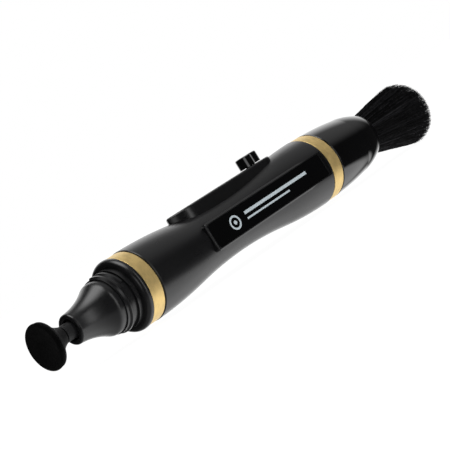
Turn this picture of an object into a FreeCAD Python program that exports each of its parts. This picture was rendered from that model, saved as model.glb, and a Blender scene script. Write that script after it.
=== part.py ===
import FreeCAD, Part
import os
import Sketcher

# Lens cleaning pen: a retractable brush at one end and a flexing cleaning tip at the other.
#
# Frame: X runs along the pen, from the cleaning tip (-X) to the brush (+X); +Z is the side with
# the slide button; the flat label panels face -Y and +Y.  The origin is on the axis, at the
# shoulder that the screw cap closes against.  Millimetres.  The brush is drawn slid out.

DIMENSIONS = [
    # barrel
    ("front_r", 9.0, "barrel radius at its front end"),
    ("waist_r", 6.8, "barrel radius at the waist"),
    ("rear_r", 9.1, "barrel radius at its rear end"),
    ("waist_to_front", 33.4, "from the barrel's front end to the waist"),
    ("waist_to_rear", 32.6, "from the waist to the barrel's rear end"),
    ("front_wall", 1.4, "barrel wall round the collar's spigot"),
    ("waist_wall", 1.0, "barrel wall at the waist, round the brush chamber"),
    ("spigot_length", 9.5, "how far the collar's spigot enters the barrel"),
    ("socket_depth", 8.5, "how far the rear sleeve's spigot enters the barrel"),
    ("end_round", 0.3, "rounding of the rims beside the trim rings"),
    ("joint_gap", 0.15, "open line on each side of a trim ring"),
    # trim rings
    ("ring_width", 3.8, "width of the trim rings"),
    ("ring_step", 0.12, "how far the trim rings lie below the barrel"),
    ("ring_round", 0.15, "rounding of the trim rings' edges"),
    # rail that carries the button
    ("rail_rise", 0.1, "rail top above the barrel's rear radius"),
    ("rail_half_width", 3.8, "half the rail's width"),
    ("rail_lead", 15.25, "from the rail's tip back to the waist"),
    ("rail_length", 38.1, "length of the rail"),
    ("rail_nose", 4.6, "from the rail's tip to the button's centre with the brush in"),
    ("rail_tail", 5.5, "from the button's centre with the brush out to the rail's end"),
    ("rail_taper", 6.0, "length over which the rail narrows to its tip"),
    ("rail_round", 0.55, "rounding of the rail's top edge"),
    ("slot_gap", 0.2, "gap between the button's neck and the slot"),
    # label panels
    ("panel_share", 0.652, "share of the swell from waist to rear at which the panel faces lie"),
    ("panel_half_width", 3.65, "half the panel's width"),
    ("panel_lead", 13.45, "from the panels' front end back to the waist"),
    ("panel_tail", 0.7, "from the panels' rear end to the barrel's rear end"),
    ("panel_bevel", 0.35, "bevel of the panel's edges"),
    ("panel_corner", 0.9, "corner radius of the panel's front end"),
    ("label_corner", 0.9, "corner radius of the label plate"),
    ("label_border", 0.6, "rim left round the label plate"),
    ("label_recess", 0.5, "depth of the recess for the label plate"),
    ("label_thickness", 0.4, "thickness of the label plate"),
    ("fit_gap", 0.05, "play round a piece that lies in a recess"),
    # collar, where the cap screws on
    ("collar_length", 1.65, "length of the shoulder"),
    ("collar_round", 1.25, "rounding of the shoulder's front edge"),
    ("seat_step", 0.4, "flat ring between the rounding and the land that centres the cap"),
    ("seat_length", 1.2, "length of that land"),
    ("thread_length", 3.3, "threaded length in front of the land"),
    ("thread_pitch", 1.65, "pitch of the cap thread"),
    ("thread_drop", 0.5, "thread root below the land"),
    ("thread_depth", 0.4, "height of the thread ridge"),
    ("thread_crest", 0.45, "width of the ridge's top"),
    ("collar_wall", 1.45, "collar wall round the cone's spigot"),
    # nose cone
    ("cone_step", 0.3, "cone's rear land below the thread root"),
    ("cone_land", 1.6, "length of that land"),
    ("cone_round", 2.4, "rounding of the land's front edge"),
    ("cone_length", 11.3, "length of the nose cone"),
    ("cone_bow", 19.0, "radius of the cone's hollow curve"),
    ("lip_wall", 1.25, "wall of the cone round its throat"),
    ("lip_round", 0.55, "rounding of the cone's lip"),
    ("throat_gap", 0.45, "room for the stem to lean in the throat"),
    ("throat_length", 1.0, "length of the throat"),
    ("cone_spigot_length", 9.0, "length of the cone's spigot inside the collar"),
    ("retainer_head", 2.4, "thickness of the retainer's head"),
    # leaning stem
    ("stem_r", 2.0, "radius of the stem"),
    ("stem_reach", 2.3, "stem length in front of the cone's lip"),
    ("ball_step", 0.3, "root ball's radius beyond the throat's"),
    ("ball_clearance", 0.1, "clearance round the root ball"),
    ("swivel_r", 1.4, "radius of the swivel ball"),
    ("swivel_clearance", 0.06, "clearance round the swivel ball"),
    ("swivel_reach", 2.0, "from the stem's shoulder to the swivel ball"),
    ("pin_step", 0.5, "pin's radius below the swivel ball's"),
    ("socket_catch", 0.15, "how far the socket's lip closes in over the swivel ball"),
    ("socket_lip", 0.4, "length of that lip"),
    # cleaning head
    ("head_gap", 0.4, "gap between the stem and the head"),
    ("head_wall", 0.69, "wall of the head round the swivel ball"),
    ("head_r", 5.55, "radius of the head's rim"),
    ("head_length", 4.5, "length of the head"),
    ("head_rim", 0.35, "thickness of the head's rim"),
    ("head_flare", 8.2, "radius of the flare"),
    ("foam_rim", 1.45, "rim of the head round the foam disc"),
    ("foam_thickness", 0.5, "thickness of the foam disc"),
    ("pad_overhang", 0.2, "pad's rim beyond the head's"),
    ("pad_thickness", 1.1, "thickness of the pad at its rim"),
    ("pad_round", 0.45, "rounding of the pad's rim"),
    ("pad_rim", 0.75, "from the pad's edge to its hollow"),
    ("pad_dish", 0.6, "depth of the hollow"),
    # rear sleeve
    ("shoulder_step", 0.83, "how much the sleeve's long curve narrows"),
    ("shoulder_at", 12.6, "length of that curve"),
    ("mouth_wall", 0.75, "wall of the sleeve at its mouth"),
    ("sleeve_length", 20.6, "length of the visible sleeve"),
    ("sleeve_front_bow", 100.0, "radius of the sleeve's long curve"),
    ("sleeve_rear_bow", 24.0, "radius of the sleeve's closing curve"),
    ("mouth_round", 0.7, "rounding of the mouth"),
    # slide button and carriage
    ("button_r", 2.9, "radius of the slide button"),
    ("button_rise", 3.0, "button top above the rail"),
    ("button_gap", 0.15, "gap between the button and the rail"),
    ("button_round", 0.4, "rounding of the button's top edge"),
    ("button_rim", 0.7, "rim round the thumb dish"),
    ("button_dish", 0.35, "depth of the thumb dish"),
    ("neck_r", 1.3, "radius of the button's neck through the slot"),
    ("neck_seat", 3.0, "height of the neck's seat above the axis"),
    ("slide_clearance", 0.1, "radial clearance of the carriage and the ferrule"),
    ("carriage_half", 6.0, "half the carriage's length"),
    ("carriage_land", 2.2, "length of each of its two lands"),
    ("relief_step", 1.0, "carriage between the lands below the lands"),
    ("spring_width", 2.4, "width of the detent spring"),
    ("spring_thickness", 0.3, "thickness of the detent spring"),
    ("spring_length", 6.4, "length of the detent spring"),
    ("spring_gap", 0.2, "gap between the spring's crown and the chamber wall"),
    ("spring_seat", 0.2, "depth of the spring's flat seat"),
    # brush
    ("rod_r", 2.2, "radius of the brush rod"),
    ("rod_seat", 3.0, "how far the rod enters the carriage and the ferrule"),
    ("ferrule_length", 14.0, "length of the ferrule"),
    ("ferrule_wall", 0.4, "wall of the ferrule"),
    ("ferrule_base", 3.6, "thickness of the ferrule's closed end"),
    ("ferrule_setback", 2.3, "from the ferrule's mouth to the sleeve's mouth"),
    ("resin_length", 2.5, "depth of the resin that holds the hair"),
    ("core_r", 3.4, "radius of the stiff middle of the hair"),
    ("brush_r", 8.6, "largest radius of the hair"),
    ("brush_flare", 19.4, "from the sleeve's mouth to the largest radius"),
    ("plug_length", 2.5, "thickness of the plug that closes the brush chamber"),
]


class Length:
    """A number of millimetres that also carries the sheet expression it comes from."""

    def __init__(self, value, text):
        self.value = value
        self.text = text

    @staticmethod
    def of(other):
        return other if isinstance(other, Length) else Length(float(other), repr(float(other)))

    def joined(self, other, sign, value):
        return Length(value, "(%s %s %s)" % (self.text, sign, other.text))

    def __add__(self, other):
        other = Length.of(other)
        return self.joined(other, "+", self.value + other.value)

    def __sub__(self, other):
        other = Length.of(other)
        return self.joined(other, "-", self.value - other.value)

    def __mul__(self, other):
        other = Length.of(other)
        return self.joined(other, "*", self.value * other.value)

    def __truediv__(self, other):
        other = Length.of(other)
        return self.joined(other, "/", self.value / other.value)

    def __radd__(self, other):
        return Length.of(other) + self

    def __rsub__(self, other):
        return Length.of(other) - self

    def __rmul__(self, other):
        return Length.of(other) * self

    def __neg__(self):
        return Length.of(0) - self

    def root(self):
        return Length(self.value ** 0.5, "sqrt(%s)" % self.text)


class Sizes:
    """The driving dimensions, each read as an attribute, such as sizes.bore_r."""

    def __init__(self, document):
        self.sheet = document.addObject("Spreadsheet::Sheet", "Sizes")
        for row, (name, value, meaning) in enumerate(DIMENSIONS, start=1):
            self.sheet.set("A%d" % row, meaning)
            self.sheet.set("B%d" % row, str(value))
            self.sheet.setAlias("B%d" % row, name)
            setattr(self, name, Length(value, "Sizes.%s" % name))


doc = FreeCAD.newDocument("LensPen")
s = Sizes(doc)
doc.recompute()
ZERO = Length.of(0)
Vector = FreeCAD.Vector


# ---------------------------------------------------------------- sketch and feature helpers
def new_body(name):
    """A sub-part; its label is the name of its file."""
    body = doc.addObject("PartDesign::Body", name)
    body.Label = name
    return body


def origin_plane(body, role):
    """The body's own XY, XZ or YZ plane."""
    return next(f for f in body.Origin.OriginFeatures if f.Role == role)


def new_sketch(body, name, role, offset=None):
    """A sketch on one of the body's origin planes, moved along the plane's normal by offset."""
    sketch = body.newObject("Sketcher::SketchObject", name)
    sketch.AttachmentSupport = [(origin_plane(body, role), "")]
    sketch.MapMode = "FlatFace"
    if offset is not None:
        sketch.AttachmentOffset = FreeCAD.Placement(Vector(0, 0, offset.value), FreeCAD.Rotation())
        sketch.setExpression("AttachmentOffset.Base.z", offset.text)
    return sketch


def bind(sketch, kind, references, length):
    """A dimension of the sketch that follows the sheet."""
    index = sketch.addConstraint(Sketcher.Constraint(kind, *references, length.value))
    if "Sizes." in length.text:
        sketch.setExpression("Constraints[%d]" % index, length.text)


def arc_between(start, end, radius, turn):
    """The arc shorter than a half turn from start to end; turn is +1 anticlockwise, -1 clockwise."""
    chord = end - start
    middle = (start + end) * 0.5
    rise = max(radius ** 2 - (chord.Length / 2) ** 2, 0.0) ** 0.5
    left = Vector(-chord.y, chord.x, 0).normalize()
    centre = middle + left * (rise * turn)
    circle = Part.Circle(centre, Vector(0, 0, 1), radius)
    first, last = (start, end) if turn > 0 else (end, start)
    return Part.ArcOfCircle(circle, circle.parameter(first), circle.parameter(last))


def outline(sketch, points, arcs=None):
    """A closed loop of lines through the points; arcs maps a corner's number to the (radius, turn)
    of the arc that leaves it."""
    arcs = arcs or {}
    places = [(Length.of(x), Length.of(y)) for x, y in points]
    count = len(places)
    ends = {}
    for i, (x, y) in enumerate(places):
        next_x, next_y = places[(i + 1) % count]
        start = Vector(x.value, y.value, 0)
        end = Vector(next_x.value, next_y.value, 0)
        if i in arcs:
            radius, turn = Length.of(arcs[i][0]), arcs[i][1]
            index = sketch.addGeometry(arc_between(start, end, radius.value, turn), False)
            ends[i] = (index, 1, 2) if turn > 0 else (index, 2, 1)
        else:
            index = sketch.addGeometry(Part.LineSegment(start, end), False)
            ends[i] = (index, 1, 2)
    for i in range(count):
        index, _, finish = ends[i]
        next_index, begin, _ = ends[(i + 1) % count]
        sketch.addConstraint(Sketcher.Constraint("Coincident", index, finish, next_index, begin))
    for i, (x, y) in enumerate(places):
        index, begin, _ = ends[i]
        bind(sketch, "DistanceX", (-1, 1, index, begin), x)
        bind(sketch, "DistanceY", (-1, 1, index, begin), y)
    for i, (radius, _) in arcs.items():
        bind(sketch, "Radius", (ends[i][0],), Length.of(radius))
    return sketch


def circle(sketch, x, y, radius):
    """A circle whose centre and radius follow the sheet."""
    x, y, radius = Length.of(x), Length.of(y), Length.of(radius)
    shape = Part.Circle(Vector(x.value, y.value, 0), Vector(0, 0, 1), radius.value)
    index = sketch.addGeometry(shape, False)
    bind(sketch, "DistanceX", (-1, 1, index, 3), x)
    bind(sketch, "DistanceY", (-1, 1, index, 3), y)
    bind(sketch, "Radius", (index,), radius)
    return sketch


def turned(body, points, arcs=None, name="Profile"):
    """Turn a half section, drawn in XZ, about the pen's axis and add it to the body."""
    sketch = outline(new_sketch(body, name, "XZ_Plane"), points, arcs)
    feature = body.newObject("PartDesign::Revolution", name + "Turn")
    feature.Profile = sketch
    feature.ReferenceAxis = (sketch, ["H_Axis"])
    feature.Angle = 360
    doc.recompute()
    return feature


def bored(body, points, arcs=None, name="Bore"):
    """Turn a half section about the pen's axis and cut it from the body."""
    sketch = outline(new_sketch(body, name, "XZ_Plane"), points, arcs)
    before = body.Shape.Volume
    feature = body.newObject("PartDesign::Groove", name + "Cut")
    feature.Profile = sketch
    feature.ReferenceAxis = (sketch, ["H_Axis"])
    feature.Angle = 360
    doc.recompute()
    if not body.Shape.Volume < before:
        raise RuntimeError("%s cut nothing from %s" % (name, body.Label))
    return feature


def extruded(body, sketch, length, name, midplane=False, reverse=False):
    """Pad a sketch."""
    feature = body.newObject("PartDesign::Pad", name)
    feature.Profile = sketch
    feature.Midplane = midplane
    feature.Reversed = reverse
    feature.Length = length.value
    feature.setExpression("Length", length.text)
    doc.recompute()
    return feature


def pocketed(body, sketch, length, name, reverse=False):
    """Cut a sketch out of the body."""
    before = body.Shape.Volume
    feature = body.newObject("PartDesign::Pocket", name)
    feature.Profile = sketch
    feature.Reversed = reverse
    feature.Length = length.value
    feature.setExpression("Length", length.text)
    doc.recompute()
    if not body.Shape.Volume < before:
        raise RuntimeError("%s cut nothing from %s" % (name, body.Label))
    return feature


def rounded(body, radius, wanted, name="Round"):
    """Round the edges of the body's last feature that wanted picks."""
    base = body.Tip
    names = ["Edge%d" % i for i, edge in enumerate(base.Shape.Edges, start=1) if wanted(edge)]
    if not names:
        raise RuntimeError("%s has no edge for %s" % (body.Label, name))
    feature = body.newObject("PartDesign::Fillet", name)
    feature.Base = (base, names)
    feature.Radius = radius.value
    feature.setExpression("Radius", radius.text)
    doc.recompute()
    return feature


def near(a, b):
    return abs(a - b) < 1e-3


def rim_at(*rims):
    """Picks the round edges that lie at one of the (x, radius) places."""
    def wanted(edge):
        box = edge.BoundBox
        return any(near(box.XMin, x.value) and near(box.XMax, x.value) and near(box.ZMax, r.value)
                   for x, r in rims)
    return wanted


def disc(name, x_from, x_to, radius):
    """A plain round plate on the axis."""
    body = new_body(name)
    turned(body, [(x_from, 0), (x_to, 0), (x_to, radius), (x_from, radius)])
    return body


def stadium(sketch, x_from, x_to, half_width):
    """A slot shape along X with round ends."""
    points = [(x_from + half_width, -half_width), (x_to - half_width, -half_width),
              (x_to, 0), (x_to - half_width, half_width),
              (x_from + half_width, half_width), (x_from, 0)]
    arcs = {i: (half_width, 1) for i in (1, 2, 4, 5)}
    return outline(sketch, points, arcs)


def nosed(sketch, x_from, x_to, half_width, taper):
    """A slot shape along X with a round end at x_to and a pointed arch of a nose at x_from."""
    bow = (taper * taper + half_width * half_width) / (2 * half_width)
    points = [(x_from + taper, -half_width), (x_to - half_width, -half_width),
              (x_to, 0), (x_to - half_width, half_width),
              (x_from + taper, half_width), (x_from, 0)]
    arcs = {1: (half_width, 1), 2: (half_width, 1), 4: (bow, 1), 5: (bow, 1)}
    return outline(sketch, points, arcs)


def half_wave(length, step):
    """Radius of the two equal arcs that join two parallel lines a step apart over a length."""
    return (length * length + step * step) / (4 * step)


# ---------------------------------------------------------------- places and radii that follow
seat_r = s.front_r - s.collar_round - s.seat_step
thread_root_r = seat_r - s.thread_drop
spigot_r = s.front_r - s.front_wall
bore_r = s.waist_r - s.waist_wall
socket_r = (s.rear_r + bore_r) / 2
sleeve_r = s.rear_r - s.ring_step
rail_top = s.rear_r + s.rail_rise
panel_face = s.waist_r + (s.rear_r - s.waist_r) * s.panel_share
label_floor = panel_face - s.label_recess
slider_r = bore_r - s.slide_clearance
relief_r = slider_r - s.relief_step
cone_spigot_r = thread_root_r - s.collar_wall
cone_base_r = thread_root_r - s.cone_step
throat_r = s.stem_r + s.throat_gap
lip_r = throat_r + s.lip_wall
ball_r = throat_r + s.ball_step
ball_seat_r = ball_r + s.ball_clearance
swivel_seat_r = s.swivel_r + s.swivel_clearance
foam_r = s.head_r - s.foam_rim
hair_foot_r = slider_r - s.ferrule_wall - s.fit_gap

front_ring = s.collar_length + s.joint_gap
barrel_front = front_ring + s.ring_width + s.joint_gap
waist = barrel_front + s.waist_to_front
barrel_rear = waist + s.waist_to_rear
rear_ring = barrel_rear + s.joint_gap
sleeve_front = rear_ring + s.ring_width + s.joint_gap
sleeve_mouth = sleeve_front + s.sleeve_length
spigot_end = barrel_front + s.spigot_length
socket_floor = barrel_rear - s.socket_depth
rail_front = waist - s.rail_lead
rail_rear = rail_front + s.rail_length
button_out = rail_rear - s.rail_tail
button_in = rail_front + s.rail_nose
panel_front = waist - s.panel_lead
panel_rear = barrel_rear - s.panel_tail
thread_front = -(s.seat_length + s.thread_length)
cone_corner = thread_front - s.cone_land
cone_lip = thread_front - s.cone_length
cone_rear = thread_front + s.cone_spigot_length
throat_end = cone_lip + s.throat_length
ball_centre = throat_end + (ball_seat_r * ball_seat_r - throat_r * throat_r).root()
stem_shoulder = cone_lip - s.stem_reach
swivel_centre = stem_shoulder - s.swivel_reach
head_rear = stem_shoulder - s.head_gap
head_front = head_rear - s.head_length
carriage_front = button_out - s.carriage_half
carriage_rear = button_out + s.carriage_half
ferrule_mouth = sleeve_mouth - s.ferrule_setback
ferrule_rear = ferrule_mouth - s.ferrule_length
resin_floor = ferrule_rear + s.ferrule_base
hair_foot = resin_floor + s.resin_length
widest = sleeve_mouth + s.brush_flare
core_shoulder = widest + (s.brush_r * s.brush_r - s.core_r * s.core_r).root()


# ---------------------------------------------------------------- casing
def label_corners(gap):
    """Points and arcs of the label plate's outline, smaller all round by gap."""
    left = panel_front + s.label_border + gap
    right = panel_rear - s.label_border - gap
    top = s.panel_half_width - s.label_border - gap
    corner = s.label_corner
    points = [
        (left + corner, -top), (right - corner, -top),
        (right, corner - top), (right, top - corner),
        (right - corner, top), (left + corner, top),
        (left, top - corner), (left, corner - top),
    ]
    return points, {i: (corner, 1) for i in (1, 3, 5, 7)}


def barrel():
    """Waisted tube with a slotted rail on top and a flat label panel on each side."""
    body = new_body("barrel")
    front_bow = half_wave(s.waist_to_front, s.front_r - s.waist_r)
    rear_bow = half_wave(s.waist_to_rear, s.rear_r - s.waist_r)
    turned(body, [
        (barrel_front, 0),
        (barrel_front, s.front_r),
        (barrel_front + s.waist_to_front / 2, (s.front_r + s.waist_r) / 2),
        (waist, s.waist_r),
        (waist + s.waist_to_rear / 2, (s.rear_r + s.waist_r) / 2),
        (barrel_rear, s.rear_r),
        (barrel_rear, 0),
    ], {1: (front_bow, -1), 2: (front_bow, 1), 3: (rear_bow, 1), 4: (rear_bow, -1)}, "Outside")
    rounded(body, s.end_round, rim_at((barrel_front, s.front_r), (barrel_rear, s.rear_r)), "RimRound")

    half, bevel = s.panel_half_width, s.panel_bevel
    across = new_sketch(body, "PanelSection", "YZ_Plane", panel_front)
    outline(across, [
        (-panel_face, bevel - half), (bevel - panel_face, -half),
        (panel_face - bevel, -half), (panel_face, bevel - half),
        (panel_face, half - bevel), (panel_face - bevel, half),
        (bevel - panel_face, half), (-panel_face, half - bevel),
    ])
    extruded(body, across, panel_rear - panel_front, "Panels")

    def on_panel_corner(edge):
        box = edge.BoundBox
        in_plane = near(box.XMin, panel_front.value) and near(box.XMax, panel_front.value)
        return in_plane and near(box.ZMin, box.ZMax) and near(abs(box.ZMin), half.value)

    rounded(body, s.panel_corner, on_panel_corner, "PanelCorner")
    flat = [(panel_front, bevel - half), (panel_rear, bevel - half),
            (panel_rear, half - bevel), (panel_front, half - bevel)]
    for side, sign in (("Left", 1), ("Right", -1)):
        plan = outline(new_sketch(body, side + "Flat", "XZ_Plane", sign * panel_face), flat)
        pocketed(body, plan, s.rear_r, side + "FlatCut", reverse=sign > 0)

    def on_panel_front(edge):
        box = edge.BoundBox
        in_plane = near(box.XMin, panel_front.value) and near(box.XMax, panel_front.value)
        return in_plane and near(box.YMin, box.YMax) and near(abs(box.YMin), panel_face.value)

    rounded(body, bevel, on_panel_front, "PanelRound")
    for side, sign in (("Left", 1), ("Right", -1)):
        plan = new_sketch(body, side + "Recess", "XZ_Plane", sign * label_floor)
        outline(plan, *label_corners(ZERO))
        pocketed(body, plan, s.label_recess, side + "RecessCut", reverse=sign > 0)

    rail = new_sketch(body, "RailPlan", "XY_Plane")
    nosed(rail, rail_front, rail_rear, s.rail_half_width, s.rail_taper)
    extruded(body, rail, rail_top, "Rail")

    def on_rail_top(edge):
        return near(edge.BoundBox.ZMin, rail_top.value) and near(edge.BoundBox.ZMax, rail_top.value)

    rounded(body, s.rail_round, on_rail_top, "RailRound")

    bored(body, [
        (barrel_front, 0),
        (barrel_front, spigot_r),
        (spigot_end, spigot_r),
        (spigot_end, bore_r),
        (socket_floor, bore_r),
        (socket_floor, socket_r),
        (barrel_rear, socket_r),
        (barrel_rear, 0),
    ])
    half_slot = s.neck_r + s.slot_gap
    slot = new_sketch(body, "SlotPlan", "XY_Plane")
    stadium(slot, button_in - half_slot, button_out + half_slot, half_slot)
    pocketed(body, slot, rail_top, "Slot", reverse=True)
    return body


def label_plate(name, sign):
    """Thin plate that lies in the panel's recess."""
    body = new_body(name)
    plan = new_sketch(body, "Plan", "XZ_Plane", sign * label_floor)
    outline(plan, *label_corners(s.fit_gap))
    extruded(body, plan, s.label_thickness, "Plate", reverse=sign < 0)
    return body


def trim_ring(name, start, outer, inner):
    """Plain ring with eased edges."""
    end = start + s.ring_width
    body = new_body(name)
    turned(body, [(start, inner), (end, inner), (end, outer), (start, outer)])
    rounded(body, s.ring_round, rim_at((start, outer), (end, outer)))
    return body


def thread_collar():
    """Shouldered collar with the cap's land, its thread and a spigot into the barrel."""
    body = new_body("thread_collar")
    turned(body, [
        (thread_front, cone_spigot_r),
        (spigot_end, cone_spigot_r),
        (spigot_end, spigot_r),
        (s.collar_length, spigot_r),
        (s.collar_length, s.front_r),
        (s.collar_round, s.front_r),
        (0, s.front_r - s.collar_round),
        (0, seat_r),
        (-s.seat_length, seat_r),
        (-s.seat_length, thread_root_r),
        (thread_front, thread_root_r),
    ], {5: (s.collar_round, 1)})
    root = thread_root_r - s.fit_gap
    rise = s.thread_depth + s.fit_gap
    half_top = s.thread_crest / 2
    start = thread_front + half_top + rise
    ridge = new_sketch(body, "RidgeSection", "XZ_Plane")
    outline(ridge, [(thread_front, root), (start + half_top + rise, root),
                    (start + half_top, root + rise), (start - half_top, root + rise)])
    thread = body.newObject("PartDesign::AdditiveHelix", "Thread")
    thread.Profile = ridge
    thread.ReferenceAxis = (ridge, ["H_Axis"])
    thread.Mode = "pitch-height-angle"
    climb = s.thread_length - 2 * (half_top + rise)
    thread.Pitch = s.thread_pitch.value
    thread.Height = climb.value
    thread.setExpression("Pitch", s.thread_pitch.text)
    thread.setExpression("Height", climb.text)
    doc.recompute()
    return body


def nose_cone():
    """Bell-shaped cone with a throat for the stem, a ball chamber and a spigot into the collar."""
    body = new_body("nose_cone")
    lip = s.lip_round
    turned(body, [
        (cone_lip, throat_r + lip),
        (cone_lip + lip, throat_r),
        (throat_end, throat_r),
        (throat_end, ball_seat_r),
        (cone_rear, ball_seat_r),
        (cone_rear, cone_spigot_r),
        (thread_front, cone_spigot_r),
        (thread_front, cone_base_r),
        (cone_corner, cone_base_r),
        (cone_lip + lip, lip_r),
        (cone_lip, lip_r - lip),
    ], {0: (lip, 1), 8: (s.cone_bow, -1), 9: (lip, 1)})
    rounded(body, s.cone_round, rim_at((cone_corner, cone_base_r)))
    return body


def tip_retainer():
    """Plug behind the stem's ball, with a head against the cone's spigot."""
    body = new_body("tip_retainer")
    face = ball_centre + ball_seat_r
    turned(body, [
        (face, 0),
        (cone_rear + s.retainer_head, 0),
        (cone_rear + s.retainer_head, cone_spigot_r),
        (cone_rear, cone_spigot_r),
        (cone_rear, ball_seat_r),
        (face, ball_seat_r),
    ])
    return body


def rear_sleeve():
    """Convex sleeve that closes in to the brush's mouth, with a spigot into the barrel."""
    body = new_body("rear_sleeve")
    mouth_r = bore_r + s.mouth_wall
    turned(body, [
        (socket_floor, bore_r),
        (sleeve_mouth, bore_r),
        (sleeve_mouth, mouth_r - s.mouth_round),
        (sleeve_mouth - s.mouth_round, mouth_r),
        (sleeve_front + s.shoulder_at, sleeve_r - s.shoulder_step),
        (sleeve_front, sleeve_r),
        (sleeve_front, socket_r),
        (socket_floor, socket_r),
    ], {2: (s.mouth_round, 1), 3: (s.sleeve_rear_bow, 1), 4: (s.sleeve_front_bow, 1)})
    rounded(body, s.end_round, rim_at((sleeve_front, sleeve_r)))
    return body


# ---------------------------------------------------------------- slider and brush
def slide_button():
    """Round thumb button with a neck through the slot into the carriage."""
    body = new_body("slide_button")
    underside = rail_top + s.button_gap
    top = rail_top + s.button_rise
    plan = new_sketch(body, "ButtonPlan", "XY_Plane", underside)
    extruded(body, circle(plan, button_out, 0, s.button_r), top - underside, "Button")

    def on_top(edge):
        return near(edge.BoundBox.ZMin, top.value) and near(edge.BoundBox.ZMax, top.value)

    rounded(body, s.button_round, on_top)
    plan = new_sketch(body, "NeckPlan", "XY_Plane", s.neck_seat)
    extruded(body, circle(plan, button_out, 0, s.neck_r), underside - s.neck_seat, "Neck")
    plan = new_sketch(body, "DishPlan", "XY_Plane", top)
    pocketed(body, circle(plan, button_out, 0, s.button_r - s.button_rim), s.button_dish, "Dish")
    return body


def slide_carriage():
    """Spool that runs in the brush chamber and holds the button's neck, the rod and the spring."""
    body = new_body("slide_carriage")
    turned(body, [
        (carriage_front, 0),
        (carriage_rear, 0),
        (carriage_rear, slider_r),
        (carriage_rear - s.carriage_land, slider_r),
        (carriage_rear - s.carriage_land, relief_r),
        (carriage_front + s.carriage_land, relief_r),
        (carriage_front + s.carriage_land, slider_r),
        (carriage_front, slider_r),
    ])
    seat = carriage_rear - s.rod_seat
    bored(body, [(seat, 0), (carriage_rear, 0), (carriage_rear, s.rod_r), (seat, s.rod_r)], None, "RodSeat")
    plan = new_sketch(body, "NeckPlan", "XY_Plane", s.neck_seat)
    pocketed(body, circle(plan, button_out, 0, s.neck_r), bore_r, "NeckSeat", reverse=True)
    half_length = s.spring_length / 2 + s.fit_gap
    half_width = s.spring_width / 2 + s.fit_gap
    plan = new_sketch(body, "SpringPlan", "XY_Plane", s.spring_seat - relief_r)
    outline(plan, [
        (button_out - half_length, -half_width), (button_out + half_length, -half_width),
        (button_out + half_length, half_width), (button_out - half_length, half_width),
    ])
    pocketed(body, plan, bore_r, "SpringSeat")
    return body


def detent_spring():
    """Bowed leaf under the carriage, close to the chamber wall."""
    body = new_body("detent_spring")
    half = s.spring_length / 2
    foot = s.spring_seat - relief_r
    crown = s.spring_gap - bore_r
    leaf = new_sketch(body, "LeafSide", "XZ_Plane")
    outline(leaf, [
        (button_out - half, foot),
        (button_out - half, foot - s.spring_thickness),
        (button_out - half / 2, crown),
        (button_out + half / 2, crown),
        (button_out + half, foot - s.spring_thickness),
        (button_out + half, foot),
        (button_out + half / 2, crown + s.spring_thickness),
        (button_out - half / 2, crown + s.spring_thickness),
    ])
    extruded(body, leaf, s.spring_width, "Leaf", midplane=True)
    return body


def brush_ferrule():
    """Thin cup that holds the hair, bored behind for the rod."""
    body = new_body("brush_ferrule")
    turned(body, [
        (ferrule_rear, s.rod_r),
        (ferrule_rear + s.rod_seat, s.rod_r),
        (ferrule_rear + s.rod_seat, 0),
        (resin_floor, 0),
        (resin_floor, slider_r - s.ferrule_wall),
        (ferrule_mouth, slider_r - s.ferrule_wall),
        (ferrule_mouth, slider_r),
        (ferrule_rear, slider_r),
    ])
    return body


def bristle_core():
    """Middle of the hair, narrow enough to pass the sleeve's mouth."""
    body = new_body("bristle_core")
    turned(body, [
        (hair_foot, 0),
        (widest + s.brush_r, 0),
        (core_shoulder, s.core_r),
        (hair_foot, s.core_r),
    ], {1: (s.brush_r, 1)})
    return body


def bristles():
    """Outer hair, flared round the core and domed at its end."""
    body = new_body("bristles")
    inner = s.core_r + s.fit_gap
    shoulder = widest + (s.brush_r * s.brush_r - inner * inner).root()
    turned(body, [
        (hair_foot, inner),
        (shoulder, inner),
        (widest, s.brush_r),
        (sleeve_mouth, hair_foot_r),
        (hair_foot, hair_foot_r),
    ], {1: (s.brush_r, 1)})
    return body


# ---------------------------------------------------------------- cleaning tip
def ball(body, centre, radius, name):
    """Add a ball on the axis."""
    turned(body, [(centre - radius, 0), (centre + radius, 0), (centre, radius)],
           {1: (radius, 1), 2: (radius, 1)}, name)


def tip_stem():
    """Stem with a root ball in the cone and a small swivel ball in the head."""
    body = new_body("tip_stem")
    pin_r = s.swivel_r - s.pin_step
    turned(body, [
        (swivel_centre, 0),
        (ball_centre, 0),
        (ball_centre, s.stem_r),
        (stem_shoulder, s.stem_r),
        (stem_shoulder, pin_r),
        (swivel_centre, pin_r),
    ])
    ball(body, ball_centre, ball_r, "RootBall")
    ball(body, swivel_centre, s.swivel_r, "SwivelBall")
    return body


def pad_holder():
    """Trumpet-shaped head that carries the foam and the pad."""
    body = new_body("pad_holder")
    catch_r = s.swivel_r - s.socket_catch
    floor = swivel_centre - swivel_seat_r
    foam_floor = head_front + s.foam_thickness
    turned(body, [
        (floor, 0),
        (floor, swivel_seat_r),
        (head_rear - s.socket_lip, swivel_seat_r),
        (head_rear - s.socket_lip, catch_r),
        (head_rear, catch_r),
        (head_rear, swivel_seat_r + s.head_wall),
        (head_front + s.head_rim, s.head_r),
        (head_front, s.head_r),
        (head_front, foam_r),
        (foam_floor, foam_r),
        (foam_floor, 0),
    ], {5: (s.head_flare, -1)})
    return body


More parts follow.
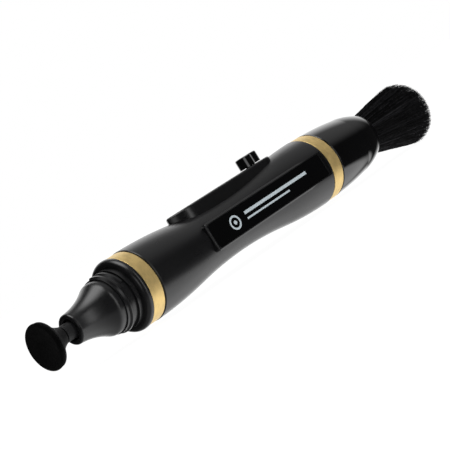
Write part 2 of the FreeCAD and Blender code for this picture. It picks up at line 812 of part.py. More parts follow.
def cleaning_pad():
    """Dished pad with a rounded rim."""
    body = new_body("cleaning_pad")
    pad_r = s.head_r + s.pad_overhang
    face_r = pad_r - s.pad_rim
    rim = head_front - s.pad_thickness
    bowl = (face_r * face_r + s.pad_dish * s.pad_dish) / (2 * s.pad_dish)
    turned(body, [
        (head_front, 0),
        (head_front, pad_r),
        (rim + s.pad_round, pad_r),
        (rim, pad_r - s.pad_round),
        (rim, face_r),
        (rim + s.pad_dish, 0),
    ], {2: (s.pad_round, 1), 4: (bowl, -1)})
    return body


# ---------------------------------------------------------------- build, check and write
parts = [
    barrel(),
    label_plate("label_plate_left", 1),
    label_plate("label_plate_right", -1),
    trim_ring("front_trim_ring", front_ring, s.front_r - s.ring_step, spigot_r),
    trim_ring("rear_trim_ring", rear_ring, sleeve_r, socket_r),
    thread_collar(),
    nose_cone(),
    tip_retainer(),
    disc("chamber_plug", spigot_end, spigot_end + s.plug_length, bore_r),
    rear_sleeve(),
    slide_button(),
    slide_carriage(),
    detent_spring(),
    disc("brush_rod", carriage_rear - s.rod_seat, ferrule_rear + s.rod_seat, s.rod_r),
    brush_ferrule(),
    disc("bristle_plug", resin_floor, hair_foot, slider_r - s.ferrule_wall),
    bristle_core(),
    bristles(),
    tip_stem(),
    pad_holder(),
    disc("pad_foam", head_front, head_front + s.foam_thickness, foam_r),
    cleaning_pad(),
]
doc.recompute()

for item in doc.Objects:
    if "Invalid" in item.State or "Error" in item.State:
        raise RuntimeError("%s did not build: %s" % (item.Label, item.State))
for part in parts:
    if part.Shape.isNull() or not part.Shape.isValid():
        raise RuntimeError("%s has no valid shape" % part.Label)

os.makedirs("parts", exist_ok=True)
for part in parts:
    part.Shape.exportStep("parts/%s.step" % part.Label)
    print("%-18s solids %d  volume %9.2f mm3" % (part.Label, len(part.Shape.Solids), part.Shape.Volume))
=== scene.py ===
"""Lens cleaning pen: finishes, brush hair, cleaning pad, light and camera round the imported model.

Frame: metres, X along the pen from the pad (-X) to the brush (+X), +Z towards the slide button.
"""
import math

import bpy
import numpy as np
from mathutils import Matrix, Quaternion, Vector


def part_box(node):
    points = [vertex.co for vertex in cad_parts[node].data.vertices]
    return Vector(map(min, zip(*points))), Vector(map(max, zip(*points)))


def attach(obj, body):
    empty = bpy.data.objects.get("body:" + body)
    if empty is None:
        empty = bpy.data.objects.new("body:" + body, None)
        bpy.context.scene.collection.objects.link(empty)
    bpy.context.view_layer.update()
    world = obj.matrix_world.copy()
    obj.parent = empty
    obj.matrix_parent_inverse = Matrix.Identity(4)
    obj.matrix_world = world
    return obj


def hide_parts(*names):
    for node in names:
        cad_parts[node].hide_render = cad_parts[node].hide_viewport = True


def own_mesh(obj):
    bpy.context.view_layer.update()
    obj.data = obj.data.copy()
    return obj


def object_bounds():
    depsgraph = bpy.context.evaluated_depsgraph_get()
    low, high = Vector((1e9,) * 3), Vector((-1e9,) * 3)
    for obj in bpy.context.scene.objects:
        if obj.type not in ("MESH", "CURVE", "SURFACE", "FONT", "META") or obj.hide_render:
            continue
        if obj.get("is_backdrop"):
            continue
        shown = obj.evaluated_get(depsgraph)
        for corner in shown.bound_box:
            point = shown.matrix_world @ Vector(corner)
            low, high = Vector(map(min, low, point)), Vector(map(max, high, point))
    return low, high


bl_info = {
    "name": "Lens cleaning pen",
    "version": (1, 0, 0),
    "blender": (4, 5, 0),
    "location": "3D View > Sidebar > Cleaning pen",
    "description": "Dresses the lens cleaning pen's model with finishes, hair and a pad",
    "category": "Object",
}

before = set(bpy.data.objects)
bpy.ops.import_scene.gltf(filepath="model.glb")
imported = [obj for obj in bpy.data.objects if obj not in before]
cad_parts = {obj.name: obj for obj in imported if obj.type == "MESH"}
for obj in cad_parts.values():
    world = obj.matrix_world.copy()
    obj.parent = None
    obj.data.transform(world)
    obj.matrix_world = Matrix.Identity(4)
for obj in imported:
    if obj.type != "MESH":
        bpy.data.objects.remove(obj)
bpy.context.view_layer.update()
MM = 0.001


# ---------------------------------------------------------------- settings
class PEN_PG_finish(bpy.types.PropertyGroup):
    """Colours and gloss of the hard pieces."""

    satin_colour: bpy.props.FloatVectorProperty(
        name="Satin black", description="Colour of the barrel, collar and cone",
        subtype="COLOR", size=3, min=0, max=1, default=(0.005, 0.005, 0.0055))
    satin_roughness: bpy.props.FloatProperty(
        name="Satin roughness", description="Roughness of the barrel, collar and cone",
        subtype="FACTOR", min=0, max=1, default=0.29)
    gloss_colour: bpy.props.FloatVectorProperty(
        name="Gloss black", description="Colour of the rear sleeve, button and label plates",
        subtype="COLOR", size=3, min=0, max=1, default=(0.0012, 0.0012, 0.0014))
    gloss_roughness: bpy.props.FloatProperty(
        name="Gloss roughness", description="Roughness of the rear sleeve, button and label plates",
        subtype="FACTOR", min=0, max=1, default=0.08)
    gold_colour: bpy.props.FloatVectorProperty(
        name="Gold", description="Colour of the trim rings",
        subtype="COLOR", size=3, min=0, max=1, default=(0.87, 0.635, 0.26))
    mark_colour: bpy.props.FloatVectorProperty(
        name="Label mark", description="Colour of the plain mark printed on the label plates",
        subtype="COLOR", size=3, min=0, max=1, default=(0.62, 0.70, 0.74))


class PEN_PG_hair(bpy.types.PropertyGroup):
    """Size and number of the brush's hairs."""

    outer_count: bpy.props.IntProperty(
        name="Outer hairs", description="Hairs in each of the sectors of the flared outer hair",
        min=20, max=900, default=390)
    core_count: bpy.props.IntProperty(
        name="Core hairs", description="Hairs in the middle of the brush",
        min=20, max=2500, default=1500)
    radius: bpy.props.FloatProperty(
        name="Hair radius", description="Radius of one hair near its root",
        subtype="DISTANCE", min=0.00001, max=0.0002, default=0.000062)
    flare_radius: bpy.props.FloatProperty(
        name="Flare radius", description="Radius of the brush where it is widest",
        subtype="DISTANCE", min=0.004, max=0.012, default=0.0088)
    dome: bpy.props.FloatProperty(
        name="Dome", description="Height of the domed tip",
        subtype="DISTANCE", min=0.001, max=0.012, default=0.0054)
    droop: bpy.props.FloatProperty(
        name="Droop", description="How far the tip hangs below the pen's axis",
        subtype="DISTANCE", min=0, max=0.004, default=0.00095)
    colour: bpy.props.FloatVectorProperty(
        name="Hair colour", description="Main colour of the hair",
        subtype="COLOR", size=3, min=0, max=1, default=(0.0022, 0.0022, 0.0024))


class PEN_PG_pad(bpy.types.PropertyGroup):
    """Form of the cleaning pad."""

    hollow: bpy.props.FloatProperty(
        name="Hollow", description="Depth of the dished face",
        subtype="DISTANCE", min=0, max=0.001, default=0.00055)
    colour: bpy.props.FloatVectorProperty(
        name="Pad colour", description="Colour of the suede face",
        subtype="COLOR", size=3, min=0, max=1, default=(0.0016, 0.0016, 0.0016))


class PEN_PG_stage(bpy.types.PropertyGroup):
    """Floor, light and camera."""

    azimuth: bpy.props.FloatProperty(
        name="Azimuth", description="Camera's turn round the pen, from straight ahead",
        subtype="ANGLE", default=math.radians(-42.063))
    elevation: bpy.props.FloatProperty(
        name="Elevation", description="Camera's height above the horizon",
        subtype="ANGLE", default=math.radians(1.808))
    roll: bpy.props.FloatProperty(
        name="Roll", description="Camera's turn about its own line of sight",
        subtype="ANGLE", default=math.radians(-31.884))
    camera_place: bpy.props.FloatVectorProperty(
        name="Camera place", description="Where the camera stands",
        subtype="TRANSLATION", size=3, default=(-0.199888, -0.264457, 0.011774))
    focal: bpy.props.FloatProperty(
        name="Focal length", description="Focal length on a 36 mm sensor, in millimetres",
        min=20, max=400, default=118.4)
    floor_glow: bpy.props.FloatProperty(
        name="Floor glow", description="Light that the floor gives off by itself",
        min=0, max=2, default=0.97)
    fill: bpy.props.FloatProperty(
        name="Fill", description="Brightness of the room all round",
        min=0, max=2, default=0.022)
    back_light: bpy.props.FloatProperty(
        name="Back light", description="Brightness of the wide glow behind the pen",
        min=0, max=5, default=1.3)
    under_light: bpy.props.FloatProperty(
        name="Under light", description="Brightness of the card below the pen",
        min=0, max=5, default=1.15)
    top_light: bpy.props.FloatProperty(
        name="Top light", description="Brightness of the soft box overhead",
        min=0, max=10, default=3.2)
    high_light: bpy.props.FloatProperty(
        name="High light", description="Brightness of the soft box above the brush end",
        min=0, max=10, default=0.3)
    front_light: bpy.props.FloatProperty(
        name="Front light", description="Brightness of the tall soft box in front",
        min=0, max=10, default=2.2)
    side_light: bpy.props.FloatProperty(
        name="Side light", description="Brightness of the soft box beside the camera",
        min=0, max=10, default=1.2)


# ---------------------------------------------------------------- shader maths
class Value:
    """A shader socket; + - and * add the Math nodes that work the sum out."""

    def __init__(self, shader, socket):
        self.shader = shader
        self.socket = socket

    def maths(self, operation, *inputs):
        return self.shader.node("ShaderNodeMath", {"operation": operation}, inputs)

    def __add__(self, other):
        return self.maths("ADD", self, other)

    def __radd__(self, other):
        return self.maths("ADD", other, self)

    def __sub__(self, other):
        return self.maths("SUBTRACT", self, other)

    def __rsub__(self, other):
        return self.maths("SUBTRACT", other, self)

    def __mul__(self, other):
        return self.maths("MULTIPLY", self, other)

    def __rmul__(self, other):
        return self.maths("MULTIPLY", other, self)

    def power(self, exponent):
        return self.maths("POWER", self, exponent)

    def magnitude(self):
        return self.maths("ABSOLUTE", self)

    def most(self, other):
        return self.maths("MAXIMUM", self, other)

    def between(self, low, high):
        """0 below low, 1 above high, smooth in between."""
        return self.shader.node(
            "ShaderNodeMapRange", {"interpolation_type": "SMOOTHSTEP"},
            {"Value": self, "From Min": low, "From Max": high}, "Result")


class Shader:
    """A node tree under construction."""

    def __init__(self, tree):
        self.tree = tree
        tree.nodes.clear()

    def node(self, kind, settings=None, inputs=None, output=0):
        """Adds any node: its settings first, then the values or links of its sockets."""
        made = self.tree.nodes.new(kind)
        for name, setting in (settings or {}).items():
            setattr(made, name, setting)
        inputs = inputs or {}
        pairs = inputs.items() if isinstance(inputs, dict) else enumerate(inputs)
        for name, value in pairs:
            if isinstance(value, Value):
                self.tree.links.new(value.socket, made.inputs[name])
            elif value is not None:
                made.inputs[name].default_value = value
        return Value(self, made.outputs[output]) if made.outputs else None

    def place(self, scale=(1, 1, 1), turn=(0, 0, 0)):
        """Object coordinates in millimetres, stretched by scale."""
        local = self.node("ShaderNodeTexCoord", output="Object")
        stretch = tuple(s / MM for s in scale)
        return self.node("ShaderNodeMapping", {}, {"Vector": local, "Rotation": turn, "Scale": stretch})

    def noise(self, place, scale, detail=2.0, roughness=0.5):
        """Noise whose lumps are about 1 / scale millimetres wide."""
        return self.node("ShaderNodeTexNoise", {},
                         {"Vector": place, "Scale": scale, "Detail": detail, "Roughness": roughness}, "Fac")

    def mix(self, factor, first, second):
        """Colour mix."""
        first, second = (c if isinstance(c, Value) else (*c[:3], 1.0) for c in (first, second))
        return self.node("ShaderNodeMix", {"data_type": "RGBA"}, {0: factor, 6: first, 7: second}, 2)

    def bump(self, height, strength, depth):
        """Normal from a height that runs from 0 to 1 over depth metres."""
        return self.node("ShaderNodeBump", {}, {"Strength": strength, "Distance": depth, "Height": height})


def finish(name, inputs):
    """Makes a Principled material; inputs is a function of the Shader that returns its sockets."""
    material = bpy.data.materials.new(name)
    material.use_nodes = True
    shader = Shader(material.node_tree)
    surface = shader.node("ShaderNodeBsdfPrincipled", {}, inputs(shader))
    shader.node("ShaderNodeOutputMaterial", {}, {"Surface": surface})
    return material


def shade(colour, gain):
    """A colour scaled by gain."""
    return tuple(min(1.0, channel * gain) for channel in colour[:3])


def moulded(colour, roughness, grain=0.3, shine=0.5):
    """Moulded plastic: faint flow clouds in the colour, wear in the gloss, fine grain in the bump."""
    def inputs(shader):
        place = shader.place()
        clouds = shader.noise(place, 0.12, 3.0)
        smears = shader.noise(shader.place((0.25, 1, 1)), 0.9, 4.0, 0.6)
        texture = shader.noise(place, 9.0, 2.0)
        return {
            "Base Color": shader.mix(clouds, shade(colour, 0.8), shade(colour, 1.25)),
            "Roughness": roughness * 0.86 + smears * (roughness * 0.28),
            "Normal": shader.bump(texture, grain, 0.00001),
            "Specular IOR Level": shine,
        }
    return inputs


def brushed_gold(colour):
    """Turned metal: hairlines round the ring and cloudy polish."""
    def inputs(shader):
        hairlines = shader.noise(shader.place((14, 0.25, 0.25)), 1.0, 4.0, 0.7)
        clouds = shader.noise(shader.place((0.7, 0.5, 0.5)), 1.0, 3.0)
        tone = (hairlines * 0.45 + clouds * 0.55).between(0.25, 0.75)
        return {
            "Base Color": shader.mix(tone, shade(colour, 0.82), shade(colour, 1.14)),
            "Metallic": 0.72,
            "Roughness": 0.34 + clouds * 0.14,
            "Normal": shader.bump(hairlines, 0.35, 0.00002),
        }
    return inputs


def rubber(colour):
    """Matt rubber with a fine bloom."""
    def inputs(shader):
        bloom = shader.noise(shader.place(), 1.2, 4.0)
        return {
            "Base Color": shader.mix(bloom, shade(colour, 0.7), shade(colour, 1.5)),
            "Roughness": 0.55 + bloom * 0.2,
            "Normal": shader.bump(shader.noise(shader.place(), 7.0, 3.0), 0.4, 0.00002),
        }
    return inputs


def suede(colour):
    """Suede: short nap that lies in patches, with a dusty sheen."""
    def inputs(shader):
        nap = shader.noise(shader.place(), 11.0, 3.0, 0.7)
        patches = shader.noise(shader.place(), 0.7, 2.0)
        return {
            "Base Color": shader.mix((nap * 0.6 + patches * 0.4).between(0.3, 0.7),
                                     shade(colour, 0.4), shade(colour, 2.0)),
            "Roughness": 0.95,
            "Specular IOR Level": 0.05,
            "Sheen Weight": 0.015,
            "Sheen Roughness": 0.5,
            "Normal": shader.bump(nap, 0.8, 0.00005),
        }
    return inputs


def foam(colour):
    """Foam with open cells."""
    def inputs(shader):
        sockets = {"Vector": shader.place(), "Scale": 4.0}
        cells = shader.node("ShaderNodeTexVoronoi", {}, sockets, "Distance")
        return {
            "Base Color": shader.mix(cells, shade(colour, 0.4), shade(colour, 1.4)),
            "Roughness": 0.95,
            "Normal": shader.bump(cells, 0.8, 0.0001),
        }
    return inputs


def metal(colour, roughness, stretch=(1, 1, 1)):
    """Bare metal; its rolling or turning lines run along the axis that stretch scales least."""
    def inputs(shader):
        lines = shader.noise(shader.place(stretch), 3.0, 3.0, 0.6)
        return {
            "Base Color": shader.mix(lines, shade(colour, 0.8), shade(colour, 1.1)),
            "Metallic": 1.0,
            "Roughness": roughness * 0.8 + lines * (roughness * 0.4),
            "Normal": shader.bump(lines, 0.25, 0.00001),
        }
    return inputs


def hair_strands(colour):
    """Soft dark hair; each hair has its own tone, a little paler towards its tip."""
    def inputs(shader):
        tone = shader.node("ShaderNodeAttribute", {"attribute_name": "tone"}, output="Fac")
        along = shader.node("ShaderNodeAttribute", {"attribute_name": "along"}, output="Fac")
        mixed = tone.power(5.0) * 0.9 + along * 0.04
        return {
            "Base Color": shader.mix(mixed, shade(colour, 0.3), shade(colour, 24.0)),
            "Roughness": 0.36 + tone * 0.2,
            "Specular IOR Level": 0.09,
        }
    return inputs


def label_print(colour, roughness, mark):
    """Glossy plate with a plain printed mark: a lens ring with a dot, and two bars beside it."""
    low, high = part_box("label_plate_left")
    plate_start, plate_end = low.x / MM, high.x / MM
    ring_x, ring_r, ring_w, dot_r = plate_start + 8.25, 1.55, 0.28, 0.55
    bar_x = plate_start + 12.25
    # each bar: its two ends, its height above the plate's middle, half its width
    bars = ((bar_x, plate_end - 6.9, 0.72, 0.42), (bar_x, plate_end - 14.9, -0.78, 0.26))
    edge = 0.06

    def inputs(shader):
        sockets = moulded(colour, roughness, 0.1, 0.7)(shader)
        parts = shader.node("ShaderNodeSeparateXYZ", {}, {"Vector": shader.place()})
        outputs = parts.socket.node.outputs
        x, z = Value(shader, outputs[0]), Value(shader, outputs[2])
        radius = ((x - ring_x).power(2.0) + z.power(2.0)).power(0.5)
        mask = 1.0 - (radius - ring_r).magnitude().between(ring_w - edge, ring_w)
        mask = mask.most(1.0 - radius.between(dot_r - edge, dot_r))
        for start, end, height, half in bars:
            across = 1.0 - (z - height).magnitude().between(half - edge, half)
            middle, reach = (start + end) / 2, (end - start) / 2
            length = 1.0 - (x - middle).magnitude().between(reach - edge, reach)
            mask = mask.most(across * length)
        speckle = shader.noise(shader.place(), 6.0, 2.0).between(0.2, 0.45)
        sockets["Base Color"] = shader.mix(mask * (0.75 + speckle * 0.25), sockets["Base Color"], mark)
        return sockets
    return inputs


# ---------------------------------------------------------------- meshes from arrays
def mesh_piece(name, points, quads, triangles=None, smooth=True, values=None):
    """A mesh object from arrays: points, four-cornered and three-cornered faces, and point
    attributes by name."""
    triangles = np.zeros((0, 3), int) if triangles is None else triangles
    starts = np.concatenate([np.arange(len(quads)) * 4, quads.size + np.arange(len(triangles)) * 3])
    mesh = bpy.data.meshes.new(name)
    mesh.vertices.add(len(points))
    mesh.vertices.foreach_set("co", points.astype(np.float32).ravel())
    mesh.loops.add(quads.size + triangles.size)
    corners = np.concatenate([quads.ravel(), triangles.ravel()])
    mesh.loops.foreach_set("vertex_index", corners.astype(np.int32))
    mesh.polygons.add(len(starts))
    mesh.polygons.foreach_set("loop_start", starts.astype(np.int32))
    mesh.polygons.foreach_set("use_smooth", np.full(len(starts), smooth))
    mesh.update(calc_edges=True)
    for key, array in (values or {}).items():
        mesh.attributes.new(key, "FLOAT", "POINT").data.foreach_set("value", array.astype(np.float32))
    piece = bpy.data.objects.new(name, mesh)
    bpy.context.scene.collection.objects.link(piece)
    return piece


def turned_surface(name, along, radius, around=160, lift=None):
    """A closed surface of revolution about X.

    Point (i, j) lies at (along[i], radius[i] cos t, radius[i] sin t) with t = 2 pi j / around; lift,
    if given, is a function of along, radius and t that gives how far the point moves along and
    outwards.  Both ends of the profile lie on the axis, and one point closes each.
    """
    t = np.linspace(0, 2 * np.pi, around, endpoint=False)[None, :]
    x = np.repeat(along[1:-1, None], around, 1)
    r = np.repeat(radius[1:-1, None], around, 1)
    if lift is not None:
        dx, dr = lift(x, r, t)
        x, r = x + dx, r + dr
    rows = len(along) - 2
    rings = np.stack([x, r * np.cos(t), r * np.sin(t)], -1).reshape(-1, 3)
    points = np.concatenate([rings, [[along[0], 0, 0], [along[-1], 0, 0]]])
    i, j = np.meshgrid(np.arange(rows - 1), np.arange(around), indexing="ij")
    nxt = (j + 1) % around
    quads = np.stack([i * around + j, (i + 1) * around + j, (i + 1) * around + nxt, i * around + nxt], -1)
    j, nxt = j[0], nxt[0]
    first, last, base = np.full(around, len(rings)), np.full(around, len(rings) + 1), (rows - 1) * around
    caps = np.concatenate([np.stack([first, j, nxt], -1), np.stack([last, base + nxt, base + j], -1)])
    return mesh_piece(name, points, quads.reshape(-1, 4), caps)


# ---------------------------------------------------------------- brush hair
HAIR_SIDES = 3
SECTORS = 16
CORE_SHARE = 0.40           # the core's part of the brush's radius
CORE_STEPS, OUTER_STEPS = 9, 14
CHOICE_SEED, CORE_SEED, SECTOR_SEED = 11, 23, 40
ROOT_DEPTH = 0.2 * MM       # how far the hairs start inside the resin
FOOT_GAP = 0.12 * MM        # between the outermost hair and the ferrule's bore
WIDEST_BEFORE_END = 8.4 * MM
RAGGED = 1.0 * MM           # how much shorter than the dome a hair may be
LOCKS = 150
LOCK_PULL = 0.3
WAVE = 0.16 * MM
TAPER = 0.65


def brush_envelope(x, foot, mouth, widest, flare):
    """Outside radius of the brush at x: the ferrule's bore up to the sleeve's mouth, then a
    straight cone, less the square of the distance past nine tenths of the way to the widest place."""
    span = np.clip((x - mouth) / (widest - mouth), 0, 1.35)
    return foot + (flare - foot) * (span - 0.5 * np.clip(span - 0.9, 0, 1) ** 2 / 0.4)


def hair_bundle(name, share, angle, steps, settings, seed):
    """Many thin tapered hairs as one mesh.

    A hair keeps its share of the brush's radius and its angle round the axis from root to tip:
    x runs evenly from the resin to the hair's own tip on a dome, the distance from the axis is
    share times the envelope at x, drawn towards its lock's middle near the tip, plus a slow wave
    that grows along the hair.  The whole droops with a power of the distance past the mouth.
    Each section is a small triangle square to X.
    """
    rng = np.random.default_rng(seed)
    count = len(share)
    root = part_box("bristle_plug")[1].x - ROOT_DEPTH
    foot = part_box("bristle_plug")[1].y - FOOT_GAP
    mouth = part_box("rear_sleeve")[1].x
    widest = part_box("bristles")[1].x - WIDEST_BEFORE_END
    flare = settings.flare_radius
    dome = np.sqrt(np.clip(1 - share ** 3, 0, 1))
    tip = widest + settings.dome * dome - rng.uniform(0, 1, count) ** 4 * RAGGED
    u = np.linspace(0, 1, steps)[None, :]
    x = root + (tip[:, None] - root) * u
    out = np.clip((x - mouth) / (widest - mouth), 0, 1.4)
    envelope = brush_envelope(x, foot, mouth, widest, flare)
    lock_share = np.sqrt(rng.uniform(0, 1, LOCKS)) * share.max()
    lock_angle = rng.uniform(angle.min(), angle.max(), LOCKS)
    gap = ((share[:, None] * np.cos(angle)[:, None] - lock_share * np.cos(lock_angle)) ** 2
           + (share[:, None] * np.sin(angle)[:, None] - lock_share * np.sin(lock_angle)) ** 2)
    mine = gap.argmin(1)
    pull = LOCK_PULL * out ** 2
    s = share[:, None] + (lock_share[mine] - share)[:, None] * pull
    a = angle[:, None] + (lock_angle[mine] - angle)[:, None] * pull * 0.8
    radial = s * envelope
    wave = out * WAVE
    phase = rng.uniform(0, 2 * np.pi, (2, count, 1))
    pitch = rng.uniform(5, 11, (2, count, 1)) * MM
    side = wave * np.sin(2 * np.pi * x / pitch[0] + phase[0])
    rise = wave * np.sin(2 * np.pi * x / pitch[1] + phase[1]) - wave * 0.6
    y = (radial + rise) * np.cos(a) - side * np.sin(a)
    z = (radial + rise) * np.sin(a) + side * np.cos(a) - settings.droop * out ** 1.3
    thick = settings.radius * (1 - TAPER * u ** 3) * rng.uniform(0.8, 1.2, (count, 1))
    turn = 2 * np.pi * np.arange(HAIR_SIDES) / HAIR_SIDES
    ring = np.stack([
        np.repeat(x[:, :, None], HAIR_SIDES, 2),
        y[:, :, None] + thick[:, :, None] * np.cos(turn),
        z[:, :, None] + thick[:, :, None] * np.sin(turn),
    ], -1)
    points = ring.reshape(-1, 3)
    h, i, j = np.meshgrid(np.arange(count), np.arange(steps - 1), np.arange(HAIR_SIDES), indexing="ij")
    at = (h * steps + i) * HAIR_SIDES
    nxt = (j + 1) % HAIR_SIDES
    quads = np.stack([at + j, at + nxt, at + HAIR_SIDES + nxt, at + HAIR_SIDES + j], -1).reshape(-1, 4)
    ends = np.arange(count)[:, None] * steps * HAIR_SIDES
    last = ends + (steps - 1) * HAIR_SIDES
    caps = np.concatenate([ends + [[0, 2, 1]], last + [[0, 1, 2]]])
    tone = np.repeat(rng.uniform(0, 1, count), steps * HAIR_SIDES)
    along = np.repeat(out.ravel(), HAIR_SIDES)
    return mesh_piece(name, points, quads, caps, values={"tone": tone, "along": along})


# ---------------------------------------------------------------- operators
def dress(material, *nodes):
    """Gives the CAD nodes that material."""
    for node in nodes:
        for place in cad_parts[node].material_slots:
            place.material = material


class PEN_OT_casing(bpy.types.Operator):
    """Satin and gloss plastic on the casing"""

    bl_idname = "pen.casing"
    bl_label = "Casing"

    def execute(self, context):
        look = context.scene.pen_finish
        satin = finish("satin_black", moulded(look.satin_colour, look.satin_roughness, 0.12, 0.7))
        dress(satin, "barrel", "thread_collar", "nose_cone")
        gloss = finish("gloss_black", moulded(look.gloss_colour, look.gloss_roughness, 0.1, 0.95))
        dress(gloss, "rear_sleeve", "slide_button")
        printed = label_print(look.gloss_colour, look.gloss_roughness, look.mark_colour)
        plate = finish("label_print", printed)
        dress(plate, "label_plate_left", "label_plate_right")
        return {"FINISHED"}


class PEN_OT_trim(bpy.types.Operator):
    """Brushed gold on the trim rings"""

    bl_idname = "pen.trim"
    bl_label = "Trim rings"

    def execute(self, context):
        gold = finish("brushed_gold", brushed_gold(context.scene.pen_finish.gold_colour))
        dress(gold, "front_trim_ring", "rear_trim_ring")
        return {"FINISHED"}


class PEN_OT_works(bpy.types.Operator):
    """Plastic, steel and resin on the sliding works and the inner pieces"""

    bl_idname = "pen.works"
    bl_label = "Sliding works"

    def execute(self, context):
        inner = finish("inner_plastic", moulded((0.03, 0.03, 0.032), 0.42, 0.4))
        dress(inner, "slide_carriage", "brush_rod", "tip_retainer", "chamber_plug")
        dress(finish("spring_steel", metal((0.6, 0.6, 0.61), 0.28, (0.2, 3, 1))), "detent_spring")
        dress(finish("dark_aluminium", metal((0.1, 0.1, 0.11), 0.35, (3, 0.3, 0.3))), "brush_ferrule")
        dress(finish("hair_resin", moulded((0.10, 0.08, 0.06), 0.15, 0.1)), "bristle_plug")
        return {"FINISHED"}


class PEN_OT_tip(bpy.types.Operator):
    """Rubber stem, satin head and foam of the cleaning tip"""

    bl_idname = "pen.tip"
    bl_label = "Cleaning tip"

    def execute(self, context):
        dress(finish("stem_rubber", rubber((0.006, 0.006, 0.0065))), "tip_stem")
        dress(finish("head_plastic", rubber((0.004, 0.004, 0.0042))), "pad_holder")
        dress(finish("pad_foam", foam((0.05, 0.05, 0.05))), "pad_foam")
        return {"FINISHED"}


class PEN_OT_pad(bpy.types.Operator):
    """Dished suede pad with a rolled rim"""

    bl_idname = "pen.pad"
    bl_label = "Cleaning pad"

    def execute(self, context):
        settings = context.scene.pen_pad
        low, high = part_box("cleaning_pad")
        rim_gap = 0.05 * MM
        outer, back, front = high.y - rim_gap, high.x, low.x
        roll = (back - front) / 2
        face = np.linspace(1, 0, 40)
        turn = np.linspace(-np.pi / 2, np.pi / 2, 25)
        rim_x = (front + back) / 2 - roll * np.sin(turn)
        rim_r = outer - roll + roll * np.cos(turn) * 0.98
        inner = rim_r[-1]
        face_r = inner * face[1:]
        face_x = front + settings.hollow * (1 - (face_r / inner) ** 2) ** 1.2
        back_r = np.linspace(0, rim_r[0], 12)[:-1]
        along = np.concatenate([np.full(len(back_r), back), rim_x, face_x])
        radius = np.concatenate([back_r, rim_r, face_r])
        piece = turned_surface("suede_pad", along, radius, 160, nap_lift)
        piece.data.materials.append(finish("suede", suede(settings.colour)))
        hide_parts("cleaning_pad")
        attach(piece, "head")
        return {"FINISHED"}


NAP = 0.006 * MM
FLAT_WITHIN = 2 * MM


def nap_lift(x, r, t):
    """Small even lumps: a sum of three waves round the pad, each NAP high, that moves a point along
    the axis and, outside FLAT_WITHIN, away from it too."""
    lump = np.sin(5 * t + 900 * r) + np.sin(11 * t - 1400 * r) + np.sin(17 * t + 2100 * r)
    return lump * NAP, lump * NAP * (r > FLAT_WITHIN)


class PEN_OT_brush(bpy.types.Operator):
    """Hair of the brush: a straight core and flared sectors round it that close up in the sleeve"""

    bl_idname = "pen.brush"
    bl_label = "Brush hair"

    def execute(self, context):
        settings = context.scene.pen_hair
        look = finish("soft_hair", hair_strands(settings.colour))
        rng = np.random.default_rng(CHOICE_SEED)
        share = CORE_SHARE * np.sqrt(rng.uniform(0, 1, settings.core_count))
        angle = rng.uniform(0, 2 * np.pi, settings.core_count)
        core = hair_bundle("hair_core", share, angle, CORE_STEPS, settings, CORE_SEED)
        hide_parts("bristle_core")
        pieces = [core]
        width = 2 * np.pi / SECTORS
        for sector in range(SECTORS):
            middle = (sector + 0.5) * width
            share = np.sqrt(rng.uniform(CORE_SHARE ** 2, 1, settings.outer_count))
            angle = middle + rng.uniform(-0.5, 0.5, settings.outer_count) * width
            piece = hair_bundle("hair_sector_%02d" % sector, share, angle, OUTER_STEPS, settings,
                                SECTOR_SEED + sector)
            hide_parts("bristles")
            pieces.append(piece)
        for number, piece in enumerate(pieces):
            piece.data.materials.append(look)
            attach(piece, "slider")
            if number:
                middle = (number - 0.5) * width
                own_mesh(piece)
        return {"FINISHED"}


class PEN_OT_stage(bpy.types.Operator):
    """Plain pale floor, soft light and the camera"""

    bl_idname = "pen.stage"
    bl_label = "Stage"

    def execute(self, context):
        settings = context.scene.pen_stage
        lay_floor(settings)
        light_sky(settings)
        set_camera(settings)
        context.scene.view_settings.view_transform = "Standard"
        return {"FINISHED"}


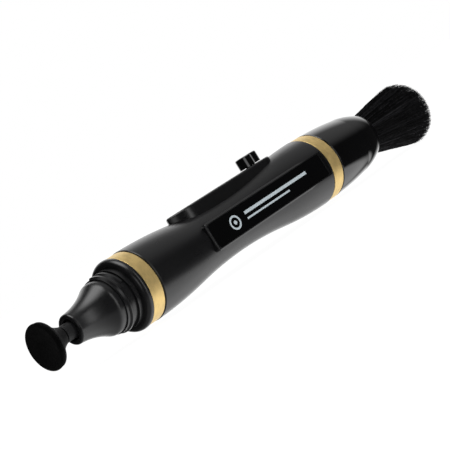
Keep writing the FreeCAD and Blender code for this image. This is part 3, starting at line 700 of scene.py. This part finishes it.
def lay_floor(settings):
    """A wide flat glowing floor under the pen, like a light table."""
    half, gap = 3.0, 0.02 * MM
    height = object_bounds()[0].z - gap
    corners = ((-1, -1), (1, -1), (1, 1), (-1, 1))
    points = np.array([[x * half, y * half, height] for x, y in corners])
    floor = mesh_piece("floor", points, np.array([[0, 1, 2, 3]]), smooth=False)

    def inputs(shader):
        grain = shader.noise(shader.place(), 0.05, 2.0)
        return {
            "Base Color": shader.mix(grain, (0.10, 0.10, 0.10), (0.12, 0.12, 0.12)),
            "Roughness": 0.9,
            "Specular IOR Level": 0.0,
            "Emission Color": (1, 1, 1, 1),
            "Emission Strength": settings.floor_glow,
        }

    floor.data.materials.append(finish("floor", inputs))
    floor.visible_glossy = False
    floor.visible_shadow = False
    floor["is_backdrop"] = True


def light_sky(settings):
    """White backdrop for the camera, and a studio of soft boxes far away that light the pen:
    each is a patch of the sky whose edge is a smooth step of the direction's slant."""
    world = bpy.data.worlds.new("studio")
    bpy.context.scene.world = world
    world.use_nodes = True
    shader = Shader(world.node_tree)
    direction = shader.node("ShaderNodeTexCoord", output="Generated")
    parts = shader.node("ShaderNodeSeparateXYZ", {}, {"Vector": direction}).socket.node
    x, y, up = (Value(shader, parts.outputs[axis]) for axis in range(3))

    def patch(aim, outer, inner):
        """1 inside a cone of half-angle inner degrees round aim, 0 outside outer degrees."""
        size = math.sqrt(sum(part * part for part in aim))
        slant = shader.node("ShaderNodeVectorMath", {"operation": "DOT_PRODUCT"},
                            {0: direction, 1: [part / size for part in aim]}, "Value")
        return slant.between(math.cos(math.radians(outer)), math.cos(math.radians(inner)))

    a = settings.azimuth
    back = patch((-math.sin(a), math.cos(a), 0.12), 50, 24) * settings.back_light
    under = (0.0 - up).between(0.50, 0.58) * (1.0 - y.between(0.05, 0.75) * 0.65) * settings.under_light
    under = under * (0.2 + x.between(-0.2, 0.5) * 0.8)
    top = patch((-0.1, -0.12, 0.97), 30, 12) * settings.top_light
    high = patch((0.67, -0.15, 0.72), 38, 6) * settings.high_light
    strip = (1.0 - (x - 0.2).magnitude().between(0.07, 0.12)) * patch((0.2, -1, 0.1), 40, 25)
    front = strip * settings.front_light
    side = patch((-0.86, -0.5, 0.12), 16, 9) * settings.side_light
    brightness = settings.fill + back + under + top + high + front + side
    unlit = shader.node("ShaderNodeBackground", {}, {"Color": (1, 1, 1, 1), "Strength": 1.0})
    lit = shader.node("ShaderNodeBackground", {}, {"Color": (1, 1, 1, 1), "Strength": brightness})
    camera_ray = shader.node("ShaderNodeLightPath", output="Is Camera Ray")
    both = shader.node("ShaderNodeMixShader", {}, {0: camera_ray, 1: lit, 2: unlit})
    shader.node("ShaderNodeOutputWorld", {}, {"Surface": both})


def set_camera(settings):
    """The camera at the product view, rolled so that the pen climbs to the right."""
    data = bpy.data.cameras.new("camera")
    data.lens = settings.focal
    data.sensor_width = 36
    data.clip_start, data.clip_end = 0.01, 20
    camera = bpy.data.objects.new("camera", data)
    a, e = settings.azimuth, settings.elevation
    back = Vector((math.sin(a) * math.cos(e), -math.cos(a) * math.cos(e), math.sin(e)))
    level = (-back).to_track_quat("-Z", "Y")
    camera.rotation_mode = "QUATERNION"
    camera.rotation_quaternion = level @ Quaternion((0, 0, 1), settings.roll)
    camera.location = settings.camera_place
    bpy.context.scene.collection.objects.link(camera)
    bpy.context.scene.camera = camera


STEPS = (PEN_OT_casing, PEN_OT_trim, PEN_OT_works, PEN_OT_tip, PEN_OT_pad, PEN_OT_brush, PEN_OT_stage)
GROUPS = {
    "pen_finish": PEN_PG_finish,
    "pen_hair": PEN_PG_hair,
    "pen_pad": PEN_PG_pad,
    "pen_stage": PEN_PG_stage,
}


class PEN_PT_sidebar(bpy.types.Panel):
    """Cleaning pen"""

    bl_label = "Cleaning pen"
    bl_idname = "PEN_PT_sidebar"
    bl_space_type = "VIEW_3D"
    bl_region_type = "UI"
    bl_category = "Cleaning pen"

    def draw(self, context):
        for group in GROUPS:
            settings = getattr(context.scene, group)
            box = self.layout.box()
            for name in settings.__annotations__:
                box.prop(settings, name)
        for step in STEPS:
            self.layout.operator(step.bl_idname)


def register():
    for group in GROUPS.values():
        bpy.utils.register_class(group)
    for step in STEPS:
        bpy.utils.register_class(step)
    bpy.utils.register_class(PEN_PT_sidebar)
    for name, group in GROUPS.items():
        setattr(bpy.types.Scene, name, bpy.props.PointerProperty(type=group))


def unregister():
    for name in GROUPS:
        delattr(bpy.types.Scene, name)
    bpy.utils.unregister_class(PEN_PT_sidebar)
    for step in reversed(STEPS):
        bpy.utils.unregister_class(step)
    for group in reversed(list(GROUPS.values())):
        bpy.utils.unregister_class(group)


def main():
    register()
    bpy.ops.pen.casing()
    bpy.ops.pen.trim()
    bpy.ops.pen.works()
    bpy.ops.pen.tip()
    bpy.ops.pen.pad()
    bpy.ops.pen.brush()
    bpy.ops.pen.stage()


if __name__ == "__main__":
    main()
